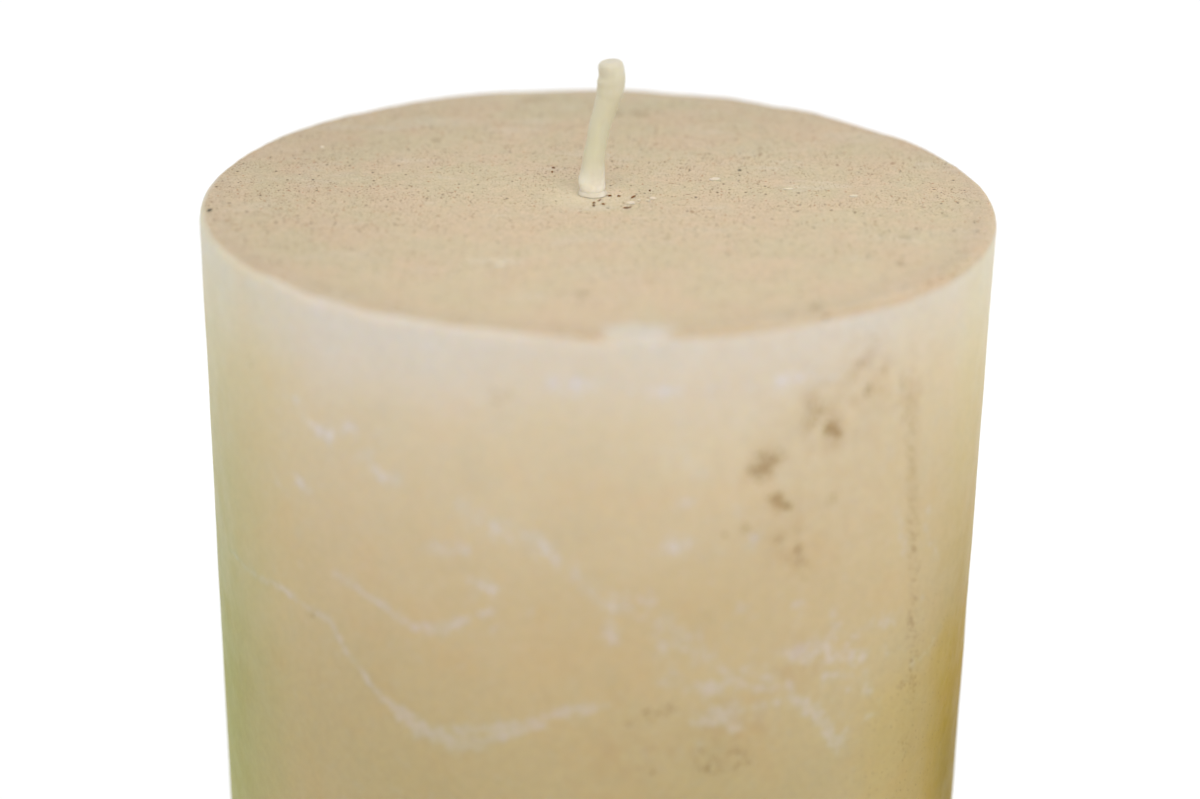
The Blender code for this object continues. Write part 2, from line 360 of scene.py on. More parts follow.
# The coat's mesh: points round it, how much denser they are at the front, and its steps in metres.
COLUMNS = 480
FRONT_DENSITY = 0.42
FINE_DEPTH = 0.046
FINE_STEP = 0.00036
TOP_STEP = 0.00062
COARSE_STEP = 0.0036
RIM_RADIUS = 0.0009
FOOT_RADIUS = 0.0012
HOLE_RADIUS = (collar_high.x - collar_low.x) / 2 - 0.0003
INSIDE = CORE_RADIUS + 0.0003
CEILING = CORE_TOP + 0.0003

# The chip in the front rim: where it is, how far it reaches along the rim and across it, and its depth.
CHIP_ARC = 0.0036
CHIP_ACROSS = -0.0004
CHIP_HALF = (0.0027, 0.0024)
CHIP_DEPTH = 0.00048
CHIP_ZONE = 0.004

# How far the dipped wax strays from a true cylinder, in metres.
SIDE_WAVE = 0.045 * MM
CROSS_WAVE = 0.035 * MM
TOP_WAVE = 0.05 * MM
RIM_WAVE = 0.10 * MM
RIM_SAG = 0.04 * MM
FAR_EDGE_LIFT = 0.30 * MM

# Where the clean band of the rim starts, in rim radii round the rim's curve, and half the width of its edge.
BAND_START = 1.45
BAND_EDGE = 0.40

# The rings of the top have half as many points inside each of these radii.
HALVING_RADII = (0.0230, 0.0115, 0.0058)

# White scuffs and wax smears on the side: {strength: [[(arc, depth, half width), ...], ...]}, in mm.
SCUFFS = {
    1.0: [
        [(-19.5, 37, 0.4), (-18, 37.8, 0.52), (-16, 39, 0.66), (-12.5, 39.7, 0.66), (-10.5, 39.5, 0.52)],
        [(-10.5, 39.5, 0.42), (-8.5, 38.4, 0.38), (-6.5, 37.3, 0.38), (-4.6, 36.7, 0.4)],
    ],
    0.95: [
        [(-43, 30.8, 0.15), (-38, 30.8, 0.2), (-33, 30, 0.25), (-29, 30.4, 0.15), (-25.5, 31, 0.2)],
        [(-4.2, 36, 0.25), (-2.5, 35.4, 0.4), (-0.6, 35, 0.3), (1, 34.6, 0.2)],
        [(18, 34.6, 0.35), (19, 36.3, 0.4), (20.6, 38, 0.5), (22.1, 39.5, 0.55), (23, 41, 0.4),
         (24, 42.6, 0.6)],
    ],
    0.9: [
        [(-25.5, 31, 0.2), (-23.5, 33.5, 0.2), (-22, 34.8, 0.15), (-21, 36, 0.2), (-19.5, 37, 0.3)],
        [(-12.4, 38.6, 0.4), (-9.6, 37.7, 0.4), (-7.3, 37.1, 0.3), (-5, 36.5, 0.3)],
    ],
    0.85: [
        [(-16.5, 28.8, 0.3), (-14.6, 28.9, 0.5), (-13.2, 28.5, 0.45), (-11.8, 27.4, 0.25), (-9, 26, 0.15)],
    ],
    0.8: [
        [(-20, 14.6, 0.3), (-18.6, 15, 0.5), (-17.6, 15, 0.35)],
        [(-24.5, 26, 0.25), (-22, 26.7, 0.15), (-20, 27.4, 0.2), (-18, 28.2, 0.25), (-16.5, 28.8, 0.3)],
        [(39, 37, 0.2), (37.6, 37.8, 0.2), (35.8, 38, 0.3), (34.3, 38, 0.3)],
    ],
    0.75: [
        [(-29.5, 17.8, 0.3), (-28.2, 18.9, 0.45)],
        [(-10.6, 23.2, 0.25), (-9.5, 23.8, 0.45), (-8.6, 24.1, 0.35)],
        [(10.2, 36.5, 0.8), (12.2, 36.2, 1.2), (13.2, 37.4, 0.9)],
    ],
    0.7: [
        [(-29.2, 10.2, 0.2), (-28, 11.5, 0.25), (-26.6, 12.4, 0.3), (-25.3, 12.8, 0.4), (-24, 11.8, 0.3)],
        [(9.8, 36.2, 0.7), (11, 36.5, 0.4), (12, 36.3, 0.7), (13.3, 36.5, 0.8), (13.4, 37.8, 0.75)],
    ],
    0.65: [
        [(-14.5, 20.6, 0.5), (-13, 20.4, 0.7), (-12, 20.2, 0.4), (-11, 20.4, 0.4)],
        [(0.9, 27.1, 0.6), (1.7, 28, 0.7)], [(13.7, 32.8, 0.5), (14.1, 31.6, 0.35)],
        [(13.5, 33.4, 0.4), (14.6, 34.1, 0.5), (15.7, 34.7, 0.5), (17, 34.8, 0.35)],
        [(9.5, 33.4, 0.5), (10.4, 33.3, 0.6)], [(24, 42.4, 0.4), (25, 41.6, 0.35)],
        [(22, 34.8, 0.5), (23.8, 35.1, 0.4), (24.8, 35.7, 0.3)],
        [(27, 35.8, 0.35), (26.2, 36.8, 0.4), (27.9, 38.1, 0.4)],
        [(22.2, 33.2, 0.5), (23.6, 33.4, 0.6), (25.2, 34.0, 0.5), (26.6, 34.6, 0.7)],
    ],
    0.6: [
        [(-32.6, 19, 0.25), (-32, 19.6, 0.25)], [(-8.6, 27.4, 0.4)],
        [(13.3, 37.4, 0.6), (15, 37.2, 0.4), (17, 37.5, 0.35)],
        [(17.6, 31.6, 0.5), (18.7, 32.1, 0.7), (20, 32.7, 0.45), (21.1, 31.8, 0.45)],
        [(27.3, 31.4, 0.3), (29.4, 31.6, 0.5), (31, 31.9, 0.4)],
        [(35.5, 21.3, 0.2), (35, 23.5, 0.2), (36.1, 26, 0.3), (38, 28.3, 0.3)],
        [(14.8, 36.4, 0.5), (16.8, 36.2, 0.4)], [(20.6, 30.6, 0.5), (21.6, 31.4, 0.6), (22.4, 33.0, 0.6)],
    ],
    0.58: [
        [(9.7, 33.4, 0.8), (11.0, 33.9, 0.6)], [(17.8, 31.4, 0.8), (19.2, 31.6, 1.0), (20.6, 32.4, 0.5)],
    ],
    0.55: [
        [(10.8, 31.1, 0.25), (12.3, 32.6, 0.25), (13.5, 33.3, 0.4)], [(18.7, 26.7, 0.45)],
        [(13, 25.8, 0.45)], [(12.5, 33.2, 0.6), (13.3, 34.0, 0.6), (14.6, 33.4, 0.7), (16.0, 33.2, 0.5)],
    ],
    0.5: [
        [(-15, 26.7, 0.3)], [(-5.5, 26.4, 0.35)], [(-29.3, 26.2, 0.3)],
        [(-5, 18.4, 0.3), (-4, 19.6, 0.6), (-3, 20.6, 0.6), (-2, 21.4, 0.45)],
        [(25, 37.2, 0.3), (27.6, 38.4, 0.4)], [(30.1, 34.9, 0.4)],
        [(29.4, 39.8, 0.2), (29.1, 41, 0.2), (27.4, 41.1, 0.2)],
        [(30.2, 20.7, 0.4), (31, 23, 0.35), (31.4, 25.3, 0.3)],
        [(6.2, 10.7, 0.5), (7.8, 11.4, 0.4), (9, 12.5, 0.35), (9.7, 13, 0.25)],
        [(14.3, 34.3, 0.4), (15.7, 33.2, 0.45)], [(23.2, 31.2, 0.5), (22.8, 29.4, 0.4)],
        [(25.2, 32.4, 0.4), (25.8, 31.2, 0.4)], [(13.9, 19.4, 0.6)],
    ],
    0.45: [
        [(-24, 11.8, 0.4), (-21.9, 11.3, 0.5)], [(-4.9, 20, 0.2), (-4.8, 22, 0.15)],
        [(34.8, 30, 0.4), (35.4, 31.8, 0.3)], [(6.2, 19.5, 0.8), (7.8, 19.4, 0.8)],
        [(7.0, 31.9, 0.35), (8.4, 32.5, 0.4)], [(27.2, 32.1, 0.3), (28.8, 30.9, 0.35), (29.2, 29.8, 0.25)],
        [(16.0, 32.0, 0.3), (16.6, 33.4, 0.4)], [(6.6, 33.0, 0.6), (8.0, 33.0, 0.5)], [(9.1, 20.5, 0.4)],
    ],
    0.42: [
        [(-1.8, 22, 0.5), (-0.3, 23.4, 0.6), (1.4, 24.7, 0.9), (3, 24.8, 1.3), (4.7, 25, 1.3)],
        [(5.8, 29.3, 0.75), (7, 29.2, 1.2), (9.2, 30, 0.7)],
    ],
    0.4: [
        [(-20.8, 13, 0.5), (-20, 12.9, 0.4)],
        [(-11.7, 16.6, 0.5), (-10.3, 17.3, 0.9), (-8.5, 18, 1.0), (-6.8, 18, 0.8), (-5, 18.2, 0.4)],
        [(22.3, 28.3, 0.25), (22.7, 30.4, 0.3)], [(23.8, 25.4, 0.25), (23.9, 27.3, 0.2)],
        [(28.6, 14.9, 0.4)], [(23.2, 33.2, 0.4), (24.4, 32.4, 0.3)], [(31.2, 47.8, 0.5), (31.6, 49.0, 0.3)],
        [(9.6, 39.2, 0.4)], [(-31.2, 9.1, 0.3), (-30.3, 10.4, 0.25)], [(-3.4, 4.3, 0.7), (-0.9, 4.7, 0.7)],
        [(2, 4.8, 0.25), (8, 5.3, 0.25), (14, 5.5, 0.4), (17.3, 5.2, 0.35), (21.4, 5.8, 0.3)],
    ],
    0.38: [
        [(4.7, 25, 1.2), (5.8, 26.6, 0.9), (7, 27.6, 1.0), (8.5, 28.6, 1.1), (9.4, 29.7, 0.8),
         (10.5, 31, 0.3)],
    ],
    0.35: [
        [(6.9, 15.2, 0.6), (7.7, 15.4, 0.6)], [(9.8, 7.6, 0.5)], [(12.2, 16.9, 0.5)],
        [(18.6, 28.8, 0.3), (19.0, 30.2, 0.3)],
    ],
}

# Dark grime on the side, in the same form.
GRIME = {
    1.5: [[(14.6, 13, 0.75), (15, 12.4, 0.65)]],
    1.15: [[(15.8, 15.9, 0.4), (16.8, 16.7, 0.5)]],
    1.1: [[(21.2, 10.4, 0.65), (22.2, 11.3, 0.5)]],
    1.0: [[(32.6, 39.5, 0.25)]],
    0.9: [[(15.3, 12, 0.5), (16.2, 12, 0.4)], [(33.6, 33.2, 0.2)], [(-36.1, 8.9, 0.2)]],
    0.85: [[(30.1, 8.7, 0.4)]],
    0.7: [[(13.9, 13.3, 0.4)], [(21.7, 17.4, 0.35)], [(34.7, 37.3, 0.3)], [(6.8, 35.2, 0.35)]],
    0.55: [[(19.4, 8.3, 1.0), (20.2, 8.8, 0.9)], [(16.2, 20.2, 0.5)]],
    0.52: [[(18, 21.3, 0.45), (18.4, 22.5, 0.5)]],
    0.5: [
        [(19.3, 9.6, 0.5)], [(25.2, 7.6, 0.7), (25.6, 8.4, 0.4)], [(25.5, 3.3, 0.4)], [(26.9, 6.2, 0.35)],
        [(-27.9, 31.3, 0.2)],
    ],
    0.42: [[(33.6, 28.5, 0.45), (33.6, 33, 0.5), (34.2, 36, 0.55)]],
    0.4: [
        [(19, 23.8, 0.5)], [(18.3, 19.3, 0.3)], [(10.9, 18.8, 0.35)], [(5.2, 41.6, 0.35)],
        [(9.8, 26.6, 0.4)], [(-7.9, 6, 0.5)],
    ],
    0.38: [
        [(32.3, 19.8, 0.55), (32.8, 22.7, 0.7), (33.1, 25, 0.6)], [(33.2, 25.8, 0.6), (33.5, 27.6, 0.6)],
    ],
    0.36: [[(31.4, 10.6, 0.8), (31.2, 13, 0.6)]],
    0.35: [[(24.2, 5.3, 0.5)], [(3.3, 36.2, 0.5), (5.4, 35.6, 0.6)]],
    0.34: [
        [(31.2, 13, 0.6), (31.9, 16, 0.5), (32.3, 19.5, 0.55)], [(34.3, 38, 0.6), (34.4, 42, 0.5)],
        [(33.7, 46.5, 0.6), (33.4, 48.5, 0.5)],
    ],
    0.3: [[(13.6, 18.7, 0.8)], [(22.5, 6, 0.6)]],
    0.25: [[(10.5, 41, 1.3), (13, 41.4, 1.2)]],
}

# Soft brown halos round the smudges: (centre, half lengths), as (arc, depth) in mm.
HALOS = [
    ((20.0, 8.6), (2.0, 2.2)), ((21.8, 10.8), (2.6, 2.0)), ((14.9, 12.9), (1.9, 1.8)),
    ((16.4, 16.4), (1.8, 1.4)), ((17.6, 21.4), (2.0, 2.4)), ((12.5, 38.5), (3.4, 2.8)),
    ((4.0, 40.0), (3.2, 2.2)), ((18.5, 32.5), (3.2, 2.6)), ((25.4, 7.4), (2.6, 2.6)),
    ((24.9, 4.6), (2.0, 2.0)), ((30.6, 9.4), (2.2, 2.2)),
]


def coat_rings():
    """Rings over the coat: out across the top, down the side, round the foot and back up inside."""
    rings = []
    near_wick = np.geomspace(HOLE_RADIUS, HALVING_RADII[-1], 13)
    radii = np.concatenate([near_wick, np.arange(0.0063, RADIUS - RIM_RADIUS, TOP_STEP)])
    for r in radii:
        count = COLUMNS
        for reach in HALVING_RADII:
            if r < reach:
                count //= 2
        rings.append((r, TOP, count, WICK_X * (1.0 - smooth(0.002, 0.009, r))))
    rim = quarter((RADIUS - RIM_RADIUS, TOP - RIM_RADIUS), RIM_RADIUS, 90, 0, 6)
    rings += [(r, z, COLUMNS, 0.0) for r, z in rim]
    for depth in np.arange(RIM_RADIUS + FINE_STEP, FINE_DEPTH, FINE_STEP):
        rings.append((RADIUS, TOP - depth, COLUMNS, 0.0))
    lower = np.arange(TOP - FINE_DEPTH, FOOT_RADIUS + COARSE_STEP / 2, -COARSE_STEP)
    rings += [(RADIUS, z, COLUMNS // 2, 0.0) for z in lower]
    foot = quarter((RADIUS - FOOT_RADIUS, FOOT_RADIUS), FOOT_RADIUS, 0, -90, 5)
    rings += [(r, z, COLUMNS // 2, 0.0) for r, z in foot]
    outer_count = len(rings)
    rings += [(INSIDE, z, COLUMNS // 4, 0.0) for z in (0.0, 0.002, TOP / 2, CEILING - 0.004, CEILING)]
    rings += [(0.018, CEILING, COLUMNS // 8, 0.0), (0.005, CEILING, COLUMNS // 8, WICK_X)]
    rings += [(HOLE_RADIUS, CEILING, COLUMNS // 8, WICK_X)]
    return rings, outer_count


def shape_coat(points, outer):
    """Moves the coat's outer points a little: hand-dipped waviness, an uneven rim and the chip in its front.
    Returns the new points and, for each, how white the broken wax of the chip is."""
    x, y, z = points.T
    radial = np.hypot(x, y)
    turn = np.arctan2(x, -y)
    arc = RADIUS * turn
    out = np.stack([np.sin(turn), -np.cos(turn)], axis=1)
    on_side = z < TOP - 0.5 * RIM_RADIUS
    across = np.where(z > TOP - 1e-6, radial - RADIUS, TOP - z)

    # Round the candle the waves meet at the back, because they depend on x and y and not on the angle.
    side = SIDE_WAVE * waves(x + y, z * 0.8, 3, 0.034) + CROSS_WAVE * waves(x - y, z * 1.3, 4, 0.022)
    settle = smooth(0.0, 0.004, z) * outer
    move = side * settle * on_side
    crown = TOP_WAVE * waves(x, y, 7, 0.020) * smooth(0.003, 0.010, radial) * outer
    rim_zone = smooth(0.0035, 0.0, np.abs(across)) * outer
    rim_sag = rim_zone * (RIM_WAVE * waves(x, y, 9, 0.012) - RIM_SAG)
    lift = np.where(z > TOP - RIM_RADIUS * 1.5, crown + rim_sag, 0.0)

    ragged = 1.0 + 0.22 * waves(arc, across, 12, 0.0026, 2)
    chip_gap = np.hypot((arc - CHIP_ARC) / CHIP_HALF[0], (across - CHIP_ACROSS) / CHIP_HALF[1]) * ragged
    chip = np.clip(1.0 - chip_gap**2, 0.0, 1.0) ** 0.75 * outer
    near_rim = z > TOP - CHIP_ZONE
    chip *= near_rim
    scoop = CHIP_DEPTH * chip * (1.0 + 0.35 * waves(arc, across, 14, 0.0014, 2))

    # The far edge stands a little higher, and the lift fades out down the side and towards the middle.
    far_edge = smooth(0.016, 0.036, y - 0.2 * x) * smooth(TOP - 0.008, TOP - 0.001, z) * outer
    moved = points.copy()
    moved[:, :2] += out * (move - 0.65 * scoop)[:, None]
    moved[:, 2] += lift + FAR_EDGE_LIFT * far_edge - 0.75 * scoop
    return moved, smooth(1.25, 0.8, chip_gap) * outer * near_rim


def build_coat(material):
    """The coat of dipped wax, with the marks on its side stored on its points for the material."""
    rings, outer_count = coat_rings()
    points, faces = ring_mesh(rings, True)
    shares = [np.full(ring[2], 1.0 if i < outer_count else 0.0) for i, ring in enumerate(rings)]
    outer = np.concatenate(shares)
    turn = np.arctan2(points[:, 0], -points[:, 1])
    flat = np.stack([RADIUS * turn / MM, (TOP - points[:, 2]) / MM], axis=1)
    radial = np.hypot(points[:, 0], points[:, 1])
    moved, chipped = shape_coat(points, outer)
    coat = mesh_object("dipped_coat", moved, faces, material, "candle")
    # How far round the rim each point is, from 0 where it starts to 2 at the side. The clean band of the
    # rim starts early at the left and late at the right.
    round_rim = (radial - RADIUS + 2.0 * RIM_RADIUS + TOP - points[:, 2]) / RIM_RADIUS - 1.0
    starts = BAND_START + 0.12 * waves(points[:, 0], points[:, 1], 21, 0.009)
    starts += 0.45 * smooth(20.0, 31.0, flat[:, 0]) - 0.85 * smooth(2.0, -9.0, flat[:, 0])
    on_top = smooth(starts + BAND_EDGE, starts - BAND_EDGE, round_rim)
    on_side = outer * (1.0 - on_top)
    store(coat, "top", on_top * outer * (1.0 - chipped))
    store(coat, "chip", chipped)
    store(coat, "scuff", strokes(flat, SCUFFS) * on_side)
    store(coat, "grime", strokes(flat, GRIME) * on_side)
    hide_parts("overdip_coat")


def wax_places(nodes):
    """The turn round the candle, the depth below its top, and the flat side and top places, in mm."""
    x, y, z = nodes.axes()
    turn = nodes.maths("ARCTAN2", x, y * -1.0)
    depth = (TOP - z) * (1.0 / MM)
    side = nodes.combine(turn * (RADIUS / MM), depth)
    return turn, depth, side, nodes.combine(x / MM, y / MM)


# The side's colour by depth below the top, in mm.
# Painted light: the pale rim and the darkening down to 58 mm stand in for light entering the top and falling
# off lower down.
SIDE_COLOURS = [
    (0, (205, 196, 182)), (4, (205, 193, 174)), (9, (202, 187, 159)), (17, (196, 179, 147)),
    (27, (188, 169, 132)), (37, (179, 161, 121)), (46, (173, 156, 114)), (58, (172, 155, 112)),
    (100, (192, 175, 139)), (140, (197, 181, 147)),
]
DEEPEST = 140.0

# What white wax, thick white wax and grime do to the colour of the wax under them.
FROST_TINT = (0.985, 1.08, 1.38)
THICK_FROST_TINT = (1.09, 1.09, 1.26)
GRIME_TINT = (0.55, 0.45, 0.27)

WAX_IOR = 1.44


def side_colour(nodes, turn, depth):
    """Pale at the rim and honey lower down, largely as painted light. Seen at a slant, the olive left flank
    and amber right flank are painted reflection and shade.
    """
    wander = nodes.step(nodes.noise(55.0), 0.3, 0.7, -2.2, 2.2)
    stops = [(at / DEEPEST, colour) for at, colour in SIDE_COLOURS]
    colour = nodes.ramp((depth + wander) / DEEPEST, stops)

    flank = nodes.step(abs(turn), 1.70, 1.42)
    painted_reflection = flank * nodes.step(depth, 120.0, 50.0, 0.25, 1.0) * nodes.slant(0.22, 0.42)
    edge = painted_reflection * nodes.slant(0.38, 0.60)
    low = nodes.step(depth, 35.0, 41.0, 0.22, 1.0) * painted_reflection
    # The first six tints are painted reflection and shade near the outline, olive on the left and amber on the
    # right. The last two are random patches.
    tints = (
        (nodes.step(turn, 0.62, 0.82) * low, (1.0, 0.96, 0.74)),
        (nodes.step(turn, 0.96, 1.14) * low, (0.96, 0.93, 0.34)),
        (nodes.step(turn, -0.62, -0.92) * painted_reflection, (1.0, 0.995, 0.91)),
        (nodes.step(turn, -0.70, -1.30) * nodes.step(depth, -12.0, 45.0) * edge, (0.70, 0.87, 0.59)),
        (nodes.step(turn, 0.72, 1.28) * nodes.step(depth, 0.0, 56.0) * edge, (0.62, 0.50, 0.02)),
        (nodes.step(turn, 1.02, 1.18) * nodes.step(depth, 45.0, 56.0) * edge, (0.80, 0.86, 0.78)),
        (nodes.step(nodes.noise(170.0, 3.0, 0.55), 0.50, 0.70, 0.0, 0.5), (1.02, 0.96, 0.90)),
        (nodes.step(nodes.noise(240.0, 3.0, 0.6, nodes.shifted(0.3, 0.1, 0.2)), 0.52, 0.70, 0.0, 0.5),
         (0.95, 0.97, 0.99)),
    )
    for mask, tint in tints:
        colour = nodes.tint(colour, mask, tint)
    return nodes.shaded(colour, nodes.step(nodes.noise(1300.0, 3.0, 0.6), 0.3, 0.7, 0.97, 1.03))


def frosted(nodes, colour, away):
    """White scuffs: the stored marks with feathered edges, and a sparse scatter of them everywhere else."""
    feather = nodes.noise(1000.0, 3.0, 0.6)
    frayed = nodes.attribute("scuff") + nodes.step(feather, 0.25, 0.75, -0.28, 0.34)
    veil = nodes.noise(420.0, place=nodes.shifted(0.5, 0.0, 0.4))
    marks = nodes.step(frayed, 0.07, 0.66) * nodes.step(veil, 0.36, 0.60, 0.62, 0.82)
    curl = nodes.noise(62.0, 2.0, 0.45, nodes.stretched(1.0, 1.0, 1.5))
    thin = nodes.step(abs(curl - 0.5), 0.012, 0.002)
    patch = nodes.step(nodes.noise(38.0), 0.56, 0.66)
    clumps = nodes.step(nodes.noise(120.0, 3.0, 0.6), 0.58, 0.68) * patch
    scattered = nodes.most(thin, clumps) * away * nodes.step(feather, 0.32, 0.6) * nodes.most(patch, 0.25)
    frost = nodes.most(marks, scattered * 0.7)
    colour = nodes.tint(colour, frost, FROST_TINT)
    return nodes.tint(colour, nodes.step(frost, 0.45, 0.90), THICK_FROST_TINT), frost


def grimy(nodes, colour, side, away):
    """Brown smudges with a soft stain round them, and specks that gather on the lower right."""
    grime = nodes.attribute("grime")
    smudge = grime + nodes.step(nodes.noise(2300.0, 3.0, 0.65), 0.30, 0.70, -0.55, 0.50)
    ragged = nodes.noise(1000.0, place=nodes.shifted(0.2, 0.6, 0.1))
    smudge = smudge * nodes.step(ragged, 0.38, 0.62, 0.55, 1.20)
    colour = nodes.tint(colour, nodes.step(smudge, 0.05, 1.05) * nodes.step(grime, 0.0, 0.15), GRIME_TINT)
    stain = nodes.blob(side, (23.0, 12.0), (11.0, 14.0), soft=0.7) * 0.11
    stain = stain + nodes.blobs(side, HALOS, 0.9) * 0.20
    blotchy = nodes.step(nodes.noise(700.0, 3.0, 0.65), 0.40, 0.62)
    colour = nodes.mix(stain * blotchy, colour, srgb(158, 122, 80))
    streak = nodes.blob(side, (32.3, 20.0), (0.9, 11.0), -4.5, 0.8)
    colour = nodes.mix(streak * 0.09, colour, srgb(150, 118, 72))
    corner = nodes.blob(side, (36.0, 48.0), (9.0, 17.0), soft=0.5)
    near = nodes.step(nodes.noise(48.0), 0.50, 0.62) * 0.6 * away
    flecks = nodes.most(nodes.dots(side, 0.8, 0.11, 0.55, 5.0) * corner,
                        nodes.dots(side, 1.5, 0.13, 0.35, 9.0) * nodes.most(near, 0.12))
    return nodes.mix(flecks * 0.75, colour, srgb(84, 66, 34))


# Marks on the top in mm: (centre, half lengths), and a turn in degrees where there is one.
TOP_SPOTS = [
    ((14.1, 8.4), (0.20, 0.34)), ((9.1, 8.2), (0.12, 0.2)), ((9.4, -0.6), (0.13, 0.22)),
    ((-36.6, -6.1), (0.24, 0.5)), ((4.5, 0.5), (0.10, 0.15)),
]
TOP_STAINS = [
    ((-1.2, -28.3), (0.6, 0.9)), ((18.5, -30.6), (0.5, 0.9)), ((27.0, -19.3), (0.45, 0.8)),
    ((28.3, -12.0), (0.55, 0.7), 20), ((-16.8, 17.7), (0.5, 0.9)), ((2.0, 28.0), (0.6, 1.3)),
    ((4.4, 27.8), (0.9, 1.3), 20), ((-7.0, 33.0), (1.8, 0.9), 30),
]


def sandy_wax(nodes, top):
    """The bare top: matt and sandy with pinkish and greenish patches, duller towards the rim. Painted shade
    darkens it towards the back, the left and over the rounded rim.
    """
    x = nodes.axis(top, 0)
    y = nodes.axis(top, 1)
    broad = nodes.step(nodes.noise(150.0, 4.0, 0.6), 0.36, 0.64)
    colour = nodes.mix(broad, srgb(206, 190, 159), srgb(210, 188, 159))
    pale = nodes.noise(190.0, place=nodes.stretched(0.6, 1.4, 1.0))
    colour = nodes.mix(nodes.step(pale, 0.56, 0.76, 0.0, 0.45), colour, srgb(216, 204, 182))
    # Painted shade: darker towards the back and the left, and a little lighter at the front.
    painted_shade = nodes.step(y, -8.0, 32.0, 0.0, 0.11) + nodes.step(x, -6.0, -36.0, 0.0, 0.10)
    lightness = 0.895 - (painted_shade + nodes.step(y, -30.0, -4.0, 0.0, 0.03))
    tinted = nodes.combine(lightness, lightness * 0.99, lightness * 0.975)
    colour = nodes.mix(1.0, colour, tinted, "MULTIPLY")
    # Painted shade: darker and greener at the far back.
    colour = nodes.tint(colour, nodes.step(y, 20.0, 37.0), (0.95, 0.99, 1.0))
    reach = nodes.length(top)
    colour = nodes.mix(nodes.step(reach, 32.5, 36.6, 0.0, 0.35), colour, srgb(190, 173, 146))
    # Painted shade over the rounded rim, which the light catches more.
    colour = nodes.tint(colour, nodes.step(reach, 34.6, 36.8), (0.965, 0.955, 0.975))
    shade = nodes.step(nodes.noise(4600.0, 2.0, 0.65), 0.25, 0.75, 0.88, 1.08)
    return nodes.shaded(colour, shade * nodes.step(nodes.noise(1200.0), 0.25, 0.75, 0.95, 1.04))


def dusty_top(nodes, top):
    """The top with its specks and hairs of dust, its spots and stains, and a painted pool of light round the
    wick's foot.
    """
    gathered = nodes.step(nodes.noise(260.0, 3.0, 0.6), 0.38, 0.64, 0.25, 1.0)
    curl = nodes.noise(620.0, 1.0, place=nodes.shifted(0.7, 0.2, 0.0))
    hairs = nodes.step(abs(curl - 0.5), 0.016, 0.006) * nodes.step(nodes.noise(1500.0, 1.0), 0.60, 0.66)
    layers = (
        (nodes.dots(top, 0.40, 0.10, 0.80, 3.0) * gathered, 0.95, (118, 84, 44)),
        (hairs * gathered, 0.9, (120, 78, 42)),
        (nodes.dots(top, 0.95, 0.15, 0.65, 17.0) * gathered, 1.0, (78, 50, 22)),
        (nodes.dots(top, 2.6, 0.19, 0.55, 41.0), 1.0, (62, 42, 20)),
        (nodes.dots(top, 1.5, 0.15, 0.45, 71.0), 0.9, (150, 84, 42)),
        (nodes.blobs(top, TOP_SPOTS, 0.25), 0.85, (62, 58, 44)),
        (nodes.blobs(top, TOP_STAINS, 0.7), 0.42, (142, 126, 98)),
        # Painted light: a pale pool round the wick's foot that washes out its shadow.
        (nodes.blob(top, (-0.9, -0.6), (3.2, 2.8), soft=0.9), 0.35, (226, 212, 182)),
    )
    colour = sandy_wax(nodes, top)
    for mask, strength, tint in layers:
        colour = nodes.mix(mask * strength, colour, srgb(*tint))
    return colour


def broken_wax(nodes, top):
    """The pale broken wax in the chip, palest near one end where a painted highlight sits."""
    # Painted highlight: the chip's whitest end, where it faces the light.
    chip_highlight = nodes.blob(top, (4.7, -36.9), (1.5, 1.0), soft=0.6)
    fresh_wax_and_highlight = nodes.most(nodes.step(nodes.noise(1300.0), 0.3, 0.7, 0.0, 0.35), chip_highlight * 0.8)
    return nodes.mix(fresh_wax_and_highlight, srgb(197, 188, 171), srgb(203, 195, 186))


def wax_material():
    """The coat's wax. Its side shades into its top and into the chip by values stored on the mesh."""
    nodes = Nodes("dipped_wax")
    turn, depth, side, top = wax_places(nodes)
    is_top = nodes.attribute("top")
    away = nodes.most(nodes.step(depth, 46.0, 52.0), nodes.step(abs(turn), 1.1, 1.4))
    colour, frost = frosted(nodes, side_colour(nodes, turn, depth), away)
    colour = grimy(nodes, colour, side, away)
    colour = nodes.mix(is_top, colour, dusty_top(nodes, top))
    colour = nodes.mix(nodes.attribute("chip") * 0.8, colour, broken_wax(nodes, top))

    # Relief: soft ripples in the dipped wax, and a fine grain that is stronger on the dusty top.
    ripple = nodes.noise(260.0, 3.0)
    normal = nodes.bump(ripple, 0.25, 0.0004)
    normal = nodes.bump(nodes.noise(2600.0, 2.0, 0.6), is_top * 0.45 + 0.10, 0.00008, normal)
    rough = is_top * 0.30 + nodes.step(ripple, 0.3, 0.7, 0.40, 0.50)
    dull = nodes.slant(0.45, 0.80) * nodes.step(depth, 28.0, 46.0)
    return nodes.surface({
        "Base Color": colour,
        "Roughness": nodes.maths("ADD", rough, frost * 0.2, clamp=True),
        "Specular IOR Level": nodes.maths("SUBTRACT", 0.30 - is_top * 0.22, dull * 0.24, clamp=True),
        "IOR": WAX_IOR,
        "Normal": normal,
        "Subsurface Weight": 1.0,
        "Subsurface Radius": (1.0, 0.72, 0.42),
        "Subsurface Scale": 0.0009,
    })


# ---------------------------------------------------------------- wick

# Points round each layer of the wick, and the steps between their rings.
SKIN_COLUMNS = 32
PLAIT_COLUMNS = 24
THREAD_COLUMNS = 12
SKIN_STEP = 0.00015
PLAIT_STEP = 0.00050
THREAD_STEP = 0.00045

# The height where the skin's close rings start, and how far below the tip the wick starts to round off.
SKIN_LOW = TOP - 0.0006
TIP_ROUNDING = 0.00050

PLAIT_STRANDS = 4
PLAIT_PITCH = 0.0042
PLIES = 3
PLY_PITCH = 0.0022

WICK_LENGTH = (WICK_TIP - TOP) / MM

